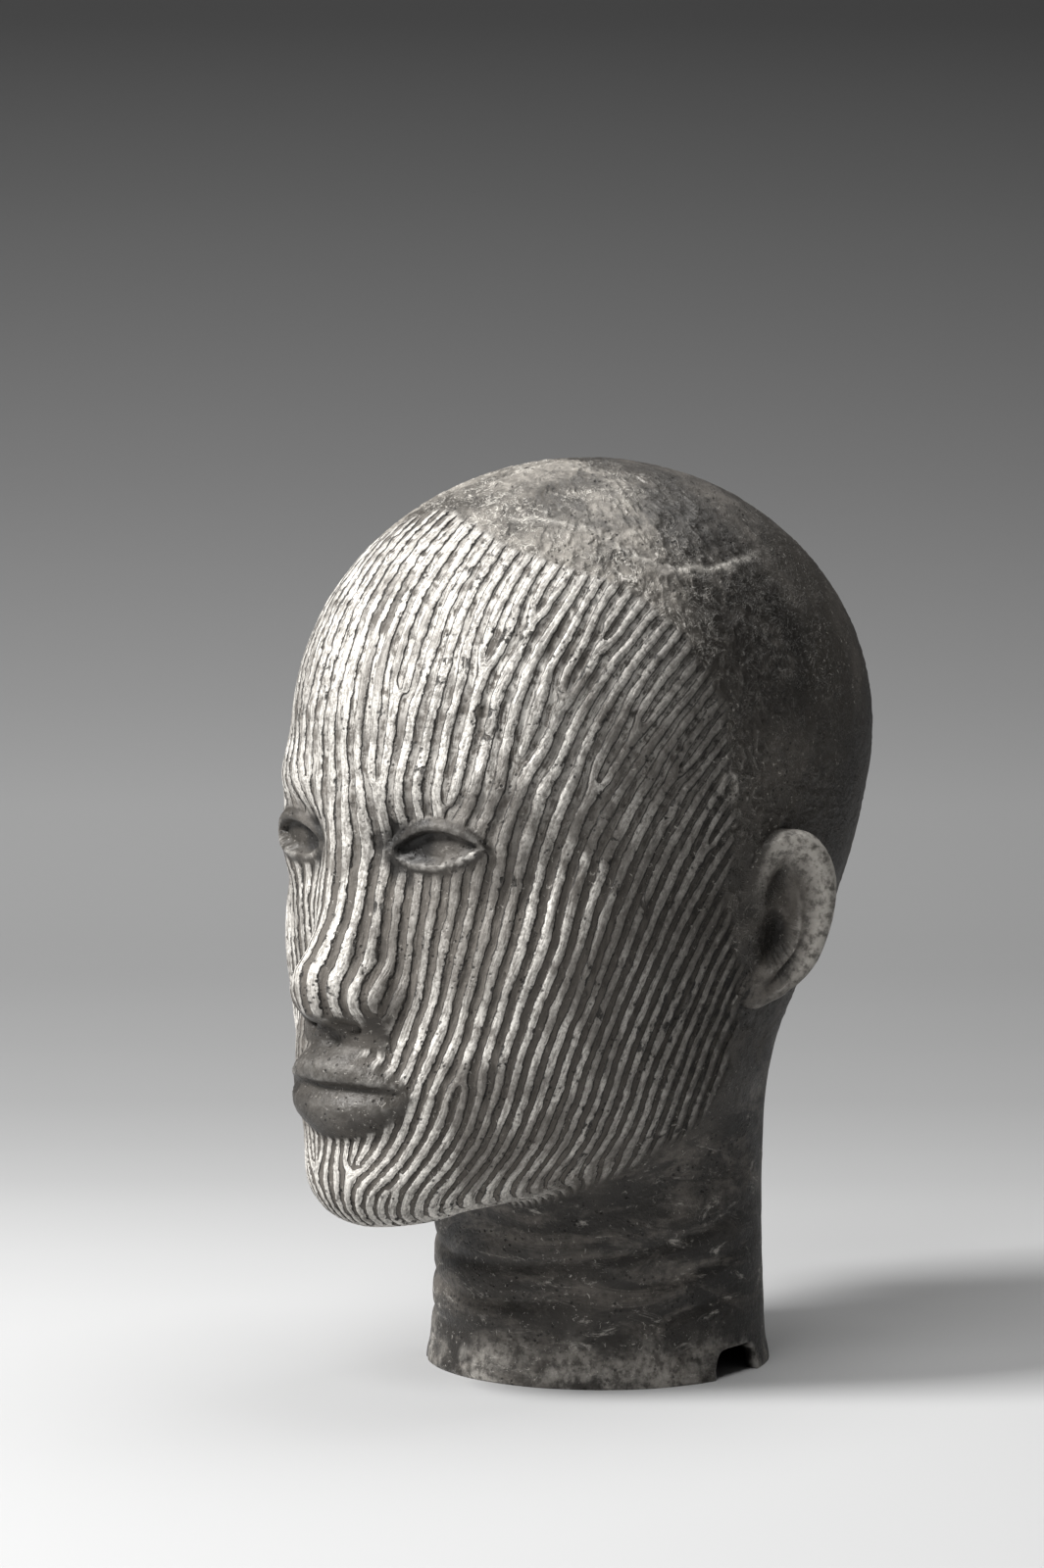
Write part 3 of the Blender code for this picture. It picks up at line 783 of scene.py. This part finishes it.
def fitted(target, box):
    """Draws the piece in by the hair by which its relief stands past the frame's box."""
    low, high = np.array(box[0]), np.array(box[1])
    corners = np.array([vert.co[:] for vert in target.data.vertices])
    mine_low, mine_high = corners.min(axis=0), corners.max(axis=0)
    scale = np.minimum((high - low) / (mine_high - mine_low), 1.0) * 0.9998
    middle = (low + high) / 2
    corners = (corners - (mine_low + mine_high) / 2) * scale + middle
    corners[:, 2] += low[2] - corners[:, 2].min()
    target.data.vertices.foreach_set("co", corners.astype(np.float32).ravel())
    target.data.update()


def bronze_head():
    skin = head_skin()
    fewer(skin, SKIN_TRIANGLES)
    helpers = []
    for name, side in (("left_ear", 1), ("right_ear", -1)):
        ear_object = ear_skin(name, side)
        fewer(ear_object, EAR_TRIANGLES)
        boolean(skin, "UNION", ear_object)
        helpers.append(ear_object)
    for cutter in (hollow_skin(), ground_block(), notch_bar()):
        boolean(skin, "DIFFERENCE", cutter)
        helpers.append(cutter)
    graph = bpy.context.evaluated_depsgraph_get()
    data = bpy.data.meshes.new_from_object(skin.evaluated_get(graph))
    for old in [skin, *helpers]:
        bpy.data.objects.remove(old)
    mark_patina(data)
    piece = object_of("bronze_head", data)
    fitted(piece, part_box("head"))
    data.shade_smooth()
    return piece


# Patina: a dark skin in the hollows, a paler one on the ridges, rubbed and also painted light towards the front and
# top, and dust in the pits; painted shade darkens the neck, the creases, the ear's bowl and the inside.

class Nodes:
    """Adds shader nodes and wires them up, one line each."""

    def __init__(self, material):
        material.use_nodes = True
        self.tree = material.node_tree
        self.shader = self.tree.nodes["Principled BSDF"]

    def add(self, kind, **settings):
        node = self.tree.nodes.new(kind)
        for name, value in settings.items():
            setattr(node, name, value)
        return node

    def wire(self, source, target):
        self.tree.links.new(source, target)

    def value(self, socket, given):
        if isinstance(given, bpy.types.NodeSocket):
            self.wire(given, socket)
        else:
            socket.default_value = given

    def math(self, operation, a, b=0.0, clamp=False):
        node = self.add("ShaderNodeMath", operation=operation, use_clamp=clamp)
        self.value(node.inputs[0], a)
        self.value(node.inputs[1], b)
        return node.outputs[0]

    def span(self, value, low, high, to_low=0.0, to_high=1.0):
        node = self.add("ShaderNodeMapRange", interpolation_type="SMOOTHSTEP")
        self.value(node.inputs["Value"], value)
        node.inputs["From Min"].default_value = low
        node.inputs["From Max"].default_value = high
        node.inputs["To Min"].default_value = to_low
        node.inputs["To Max"].default_value = to_high
        return node.outputs["Result"]

    def stored(self, name):
        return self.add("ShaderNodeAttribute", attribute_name=name).outputs["Fac"]

    def noise(self, place, scale, detail=4.0, rough=0.55, warp=0.0):
        node = self.add("ShaderNodeTexNoise")
        self.wire(place, node.inputs["Vector"])
        node.inputs["Scale"].default_value = scale
        node.inputs["Detail"].default_value = detail
        node.inputs["Roughness"].default_value = rough
        node.inputs["Distortion"].default_value = warp
        return node.outputs["Fac"]

    def mix(self, share, a, b, blend="MIX"):
        node = self.add("ShaderNodeMix", data_type="RGBA", blend_type=blend)
        self.value(node.inputs[0], share)
        self.value(node.inputs[6], a)
        self.value(node.inputs[7], b)
        return node.outputs[2]


DARK = (0.020, 0.0175, 0.015, 1)
BROWN = (0.050, 0.044, 0.037, 1)
RIDGE = (0.120, 0.107, 0.093, 1)
CLAY = (0.30, 0.277, 0.244, 1)
PALE_BRONZE = (0.70, 0.672, 0.625, 1)
DUST = (0.58, 0.55, 0.50, 1)
BLACK = (0.008, 0.007, 0.006, 1)


def base_metal(n, place, broad, blotch, fine):
    """The dark skin of the bronze, browner and paler in patches."""
    colour = n.mix(n.span(broad, 0.35, 0.65), DARK, BROWN)
    colour = n.mix(n.span(blotch, 0.45, 0.72, 0.0, 0.6), colour, RIDGE)
    # Painted shade: the neck, under the chin, is darkened towards black.
    colour = n.mix(n.math("MULTIPLY", n.stored("neck"), 0.45), colour, BLACK)
    colour = n.mix(n.math("MULTIPLY", n.stored("ear"), n.span(fine, 0.3, 0.6, 0.35, 0.90)), colour, RIDGE)
    # The crown's pale patches, partly wear and partly painted light, strongest towards the front.
    crown = n.math("MULTIPLY", n.stored("cap"), n.span(n.stored("wear_and_light"), 0.0, 0.55))
    crown = n.math("MULTIPLY", crown, n.span(blotch, 0.38, 0.60, 0.12, 0.85))
    return n.mix(n.math("MULTIPLY", crown, n.span(fine, 0.32, 0.64, 0.45, 1.0)), colour, CLAY)


def carved(n, colour, off, face, streak, stain, blotch, fine, grain):
    """Ridges, rubbed and painted paler where the light falls, with a painted shadow line along each side, and dirty
    grooves, all paler towards the forehead as painted light from above.
    """
    wear_and_light, pale = n.stored("wear_and_light"), n.stored("pale")
    groove = n.math("MULTIPLY", n.span(off, 0.265, 0.205), face)
    ridge = n.math("SUBTRACT", face, groove, clamp=True)
    # The ridges turn pale partly as rubbed wear and partly as painted light, strongest at the front and fading towards
    # the sides and the neck.
    rubbed_and_lit = n.math("MULTIPLY", wear_and_light, n.span(stain, 0.37, 0.52, 0.16, 1.0))
    rubbed_and_lit = n.math("MULTIPLY", rubbed_and_lit, n.span(streak, 0.36, 0.56, 0.30, 1.0))
    rubbed_and_lit = n.math("MULTIPLY", rubbed_and_lit, n.span(fine, 0.34, 0.54, 0.50, 1.0))
    rubbed_and_lit = n.math("MULTIPLY", rubbed_and_lit, n.span(grain, 0.34, 0.56, 0.50, 1.15))
    colour = n.mix(n.math("MULTIPLY", ridge, 0.96), colour, n.mix(rubbed_and_lit, n.mix(wear_and_light, BROWN, RIDGE), PALE_BRONZE))
    # Groove floors: dark patina with dust flecks, painted lighter towards the front and higher up as painted light.
    rubble = n.mix(n.math("MULTIPLY", pale, n.span(blotch, 0.32, 0.56)), n.mix(wear_and_light, BROWN, RIDGE), PALE_BRONZE)
    grit = n.math("ADD", fine, n.math("MULTIPLY", streak, 0.7))
    groove_dirt_and_light = n.mix(n.span(grit, 0.70, 0.94), n.mix(wear_and_light, BLACK, RIDGE), rubble)
    colour = n.mix(groove, colour, groove_dirt_and_light)
    # Painted shadow: a dark line along both sides of each ridge, where the ridge would cast its shade into the groove.
    beside = n.math("ABSOLUTE", n.math("SUBTRACT", off, 0.225))
    ridge_shadow_line = n.math("MULTIPLY", n.span(beside, 0.060, 0.015), n.span(streak, 0.34, 0.52, 0.35, 1.0))
    ridge_shadow_line = n.math("MULTIPLY", ridge_shadow_line, face)
    return n.mix(n.math("MULTIPLY", ridge_shadow_line, 0.86), colour, BLACK), rubbed_and_lit, groove, ridge


def scratched(n, place, colour, blotch, fine):
    """The cap's pale flecks and curls, the neck's scuffs, the dusty foot, painted shade in the ear's bowl and the ear's
    bright rims.
    """
    cap, neck_share = n.stored("cap"), n.stored("neck")
    curl = n.noise(place, 170, 2, 0.5, 2.8)
    ribbon = n.math("ABSOLUTE", n.math("SUBTRACT", curl, 0.5))
    cluster = n.span(n.noise(place, 34, 3, 0.6, 1.0), 0.42, 0.58, 0.12, 1.0)
    curls = n.math("MULTIPLY", n.span(ribbon, 0.050, 0.012), n.math("MULTIPLY", cluster, n.span(fine, 0.40, 0.55)))
    flecks = n.math("MULTIPLY", n.span(n.noise(place, 210, 5, 0.72, 1.6), 0.56, 0.66), cluster)
    marks_share = n.math("MULTIPLY", n.math("MAXIMUM", curls, flecks), cap)
    # Dust in the cap's flecks and curls, paler towards the front partly as painted light.
    colour = n.mix(n.math("MULTIPLY", marks_share, n.span(n.stored("wear_and_light"), 0.0, 0.5, 0.14, 0.85)), colour, DUST)
    flat = n.add("ShaderNodeMapping")
    flat.inputs["Scale"].default_value = (1, 1, 2.8)
    n.wire(place, flat.inputs["Vector"])
    dull = n.math("MULTIPLY", n.span(n.noise(flat.outputs[0], 26, 6, 0.7, 0.8), 0.46, 0.62), neck_share)
    colour = n.mix(n.math("MULTIPLY", dull, n.span(fine, 0.30, 0.60, 0.30, 0.95)), colour, RIDGE)
    streaks = n.span(n.noise(flat.outputs[0], 55, 7, 0.78, 0.6), 0.56, 0.70, 0.0, 0.60)
    colour = n.mix(n.math("MULTIPLY", streaks, neck_share), colour, DUST)
    height = n.add("ShaderNodeSeparateXYZ")
    n.wire(place, height.inputs[0])
    foot = n.math("MULTIPLY", n.span(height.outputs["Z"], 0.024, 0.001), n.span(blotch, 0.40, 0.62))
    foot = n.math("MULTIPLY", foot, n.span(fine, 0.34, 0.62, 0.05, 0.50))
    colour = n.mix(foot, colour, DUST)
    # Painted shade: the ear's bowl is darkened towards black.
    colour = n.mix(n.math("MULTIPLY", n.stored("bowl"), 0.70), colour, BLACK)
    bright = n.math("MULTIPLY", n.stored("bright"), n.span(fine, 0.34, 0.58, 0.10, 0.85))
    return n.mix(bright, colour, DUST), curls


def patina():
    material = bpy.data.materials.new("bronze_patina")
    n = Nodes(material)
    place = n.add("ShaderNodeTexCoord").outputs["Object"]
    face, cap, inside = n.stored("face"), n.stored("cap"), n.stored("inside")
    broad = n.noise(place, 13, 4, 0.6)
    stain = n.noise(place, 21, 3, 0.6, 0.6)
    blotch = n.noise(place, 48, 5, 0.62, 0.4)
    fine = n.noise(place, 330, 4, 0.65)
    grain = n.noise(place, 950, 3, 0.6)

    # The carved lines again, with sharp sides: 0 in the middle of a groove, 0.5 on a ridge.
    phase = n.math("ARCTAN2", n.stored("line_sin"), n.stored("line_cos"))
    off = n.math("MULTIPLY", n.math("ABSOLUTE", phase), 1 / (2 * math.pi))
    off = n.math("ADD", off, n.span(fine, 0.25, 0.75, -0.045, 0.045))
    off = n.math("ADD", off, n.span(blotch, 0.25, 0.75, -0.045, 0.045))
    scaled = n.add("ShaderNodeVectorMath", operation="SCALE")
    n.wire(place, scaled.inputs[0])
    scaled.inputs["Scale"].default_value = 95
    round_line = n.add("ShaderNodeCombineXYZ")
    n.wire(n.stored("line_cos"), round_line.inputs["X"])
    n.wire(n.stored("line_sin"), round_line.inputs["Y"])
    along = n.add("ShaderNodeVectorMath", operation="ADD")
    n.wire(scaled.outputs[0], along.inputs[0])
    n.wire(round_line.outputs[0], along.inputs[1])
    streak = n.noise(along.outputs[0], 1.6, 4, 0.62)

    colour = base_metal(n, place, broad, blotch, fine)
    colour, rubbed_and_lit, groove, ridge = carved(n, colour, off, face, streak, stain, blotch, fine, grain)
    high = n.add("ShaderNodeNewGeometry").outputs["Pointiness"]
    edge = n.math("MULTIPLY", n.span(high, 0.51, 0.58), n.span(fine, 0.35, 0.62, 0.1, 0.8))
    colour = n.mix(n.math("MULTIPLY", edge, 0.6), colour, PALE_BRONZE)
    # Painted shade: where the surface bends inwards, in creases and hollows, it is darkened towards black.
    colour = n.mix(n.span(high, 0.49, 0.42, 0.0, 0.6), colour, BLACK)
    colour, curls = scratched(n, place, colour, blotch, fine)

    specks = n.math("MULTIPLY", n.span(n.noise(place, 540, 5, 0.75, 0.6), 0.60, 0.68), n.span(broad, 0.35, 0.65, 0.1, 0.7))
    colour = n.mix(specks, colour, DUST)
    pock = n.add("ShaderNodeTexVoronoi", feature="F1")
    n.wire(place, pock.inputs["Vector"])
    pock.inputs["Scale"].default_value = 480
    few = n.math("MULTIPLY", n.span(n.noise(place, 120, 3, 0.6), 0.48, 0.62), n.span(n.stored("ear"), 0.0, 1.0, 1.0, 0.25))
    pocks = n.math("MULTIPLY", n.span(pock.outputs["Distance"], 0.32, 0.12), few)
    colour = n.mix(n.math("MULTIPLY", pocks, 0.80), colour, BLACK)
    # Painted shade: the inside of the hollow is darkened almost to black.
    colour = n.mix(n.math("MULTIPLY", inside, 0.92), colour, BLACK)
    n.wire(colour, n.shader.inputs["Base Color"])

    metal = n.math("ADD", 0.20, n.math("MULTIPLY", n.math("MULTIPLY", rubbed_and_lit, ridge), 0.12))
    n.wire(n.math("MULTIPLY", metal, n.math("SUBTRACT", 1.0, specks)), n.shader.inputs["Metallic"])
    rough = n.math("ADD", n.span(blotch, 0.3, 0.7, 0.48, 0.66), n.math("MULTIPLY", groove, 0.22))
    rough = n.math("ADD", rough, n.math("MULTIPLY", specks, 0.2), clamp=True)
    n.wire(n.math("ADD", rough, n.span(grain, 0.3, 0.7, -0.06, 0.06), clamp=True), n.shader.inputs["Roughness"])

    heights = n.math("ADD", n.math("MULTIPLY", fine, 0.9), n.math("MULTIPLY", grain, 0.4))
    heights = n.math("SUBTRACT", heights, n.math("MULTIPLY", pocks, 0.8))
    heights = n.math("SUBTRACT", heights, n.math("MULTIPLY", groove, 0.9))
    heights = n.math("ADD", heights, n.math("MULTIPLY", curls, n.math("MULTIPLY", cap, 1.4)))
    heights = n.math("ADD", heights, n.math("MULTIPLY", n.math("MULTIPLY", streak, face), 0.8))
    bump = n.add("ShaderNodeBump")
    bump.inputs["Strength"].default_value = 0.75
    bump.inputs["Distance"].default_value = 0.0006
    n.wire(heights, bump.inputs["Height"])
    n.wire(bump.outputs["Normal"], n.shader.inputs["Normal"])
    return material


# The stage: a pale floor that sweeps up into a wall darkened by painted shade, soft lights and the camera.

def paper(name):
    """Pale paper with painted shade that darkens it with its distance behind the object, and clear from behind."""
    material = bpy.data.materials.new(name)
    n = Nodes(material)
    place = n.add("ShaderNodeTexCoord").outputs["Object"]
    behind = n.add("ShaderNodeVectorMath", operation="DOT_PRODUCT")
    n.wire(place, behind.inputs[0])
    behind.inputs[1].default_value = (-math.sin(CAMERA_TURN), math.cos(CAMERA_TURN), 1.0)
    # Painted shade: the paper darkens along the floor and up the wall.
    ramp = n.add("ShaderNodeValToRGB")
    n.wire(n.math("MULTIPLY", behind.outputs["Value"], 1 / SHADE_REACH), ramp.inputs["Fac"])
    stops = ramp.color_ramp.elements
    for reach, grey in PAPER_PAINTED_SHADE[1:-1]:
        stops.new(reach / SHADE_REACH)
    for stop, (reach, grey) in zip(stops, PAPER_PAINTED_SHADE):
        stop.position = reach / SHADE_REACH
        stop.color = (grey, grey, grey, 1)
    n.wire(ramp.outputs["Color"], n.shader.inputs["Base Color"])
    n.shader.inputs["Roughness"].default_value = 0.95
    n.shader.inputs["Specular IOR Level"].default_value = 0.1
    clear = n.add("ShaderNodeMixShader")
    n.wire(n.add("ShaderNodeNewGeometry").outputs["Backfacing"], clear.inputs["Fac"])
    n.wire(n.shader.outputs[0], clear.inputs[1])
    n.wire(n.add("ShaderNodeBsdfTransparent").outputs[0], clear.inputs[2])
    n.wire(clear.outputs[0], n.tree.nodes["Material Output"].inputs["Surface"])
    return material


def sweep():
    """Floor and wall as one curved sheet behind the object, square to the camera."""
    view = Vector((math.sin(CAMERA_TURN), -math.cos(CAMERA_TURN), 0))
    side = Vector((math.cos(CAMERA_TURN), math.sin(CAMERA_TURN), 0))
    outline = [(3.0, 0.0), (-SWEEP_BACK + SWEEP_RADIUS, 0.0)]
    for step_at in range(1, 17):
        angle = step_at / 16 * math.pi / 2
        outline.append((-SWEEP_BACK + SWEEP_RADIUS * (1 - math.sin(angle)), SWEEP_RADIUS * (1 - math.cos(angle))))
    outline.append((-SWEEP_BACK, 4.0))
    verts = [view * along + side * across + Vector((0, 0, up)) for across in (-5, 5) for along, up in outline]
    count = len(outline)
    faces = [(count + i, count + i + 1, i + 1, i) for i in range(count - 1)]
    data = bpy.data.meshes.new("floor")
    data.from_pydata([tuple(v) for v in verts], [], faces)
    data.update()
    data.shade_smooth()
    data.materials.append(paper("paper"))
    made = object_of("floor", data)


def area_light(name, place, aim, size, power):
    data = bpy.data.lights.new(name, "AREA")
    data.shape = "RECTANGLE"
    data.size, data.size_y = size
    data.energy = power
    light = bpy.data.objects.new(name, data)
    bpy.context.scene.collection.objects.link(light)
    light.location = place
    light.rotation_euler = (Vector(aim) - light.location).to_track_quat("-Z", "Y").to_euler()


def from_camera(across, along, up):
    """A place given across the picture, towards the camera and up, from the neck's axis."""
    side = Vector((math.cos(CAMERA_TURN), math.sin(CAMERA_TURN), 0))
    view = Vector((math.sin(CAMERA_TURN), -math.cos(CAMERA_TURN), 0))
    return NECK_PLACE + side * across + view * along + Vector((0, 0, up))


def lights():
    area_light("key", from_camera(-1.27, 0.50, 1.32), from_camera(0, 0, 0.15), (0.45, 0.45), KEY_POWER)
    area_light("fill", from_camera(-0.55, 1.0, 1.5), from_camera(0, 0, 0.15), (0.8, 0.8), FILL_POWER)
    area_light("top", from_camera(0.30, -0.30, 1.5), from_camera(0, 0, 0.2), (0.8, 0.8), TOP_POWER)
    world = bpy.data.worlds.new("studio")
    world.use_nodes = True
    bpy.context.scene.world = world
    world.node_tree.nodes["Background"].inputs["Color"].default_value = (1, 1, 1, 1)
    world.node_tree.nodes["Background"].inputs["Strength"].default_value = AMBIENT


def camera():
    data = bpy.data.cameras.new("camera")
    data.lens = 97
    data.sensor_width = 36
    made = bpy.data.objects.new("camera", data)
    bpy.context.scene.collection.objects.link(made)
    made.location = from_camera(-0.0255, 1.4, 0.287)
    made.rotation_euler = (math.pi / 2 + CAMERA_PITCH, 0, CAMERA_TURN)
    bpy.context.scene.camera = made


def main():
    camera()
    lights()
    sweep()
    piece = bronze_head()
    piece.data.materials.clear()
    piece.data.materials.append(patina())
    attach(piece, "root")
    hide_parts("head")
    bpy.context.scene.view_settings.view_transform = "Standard"


main()
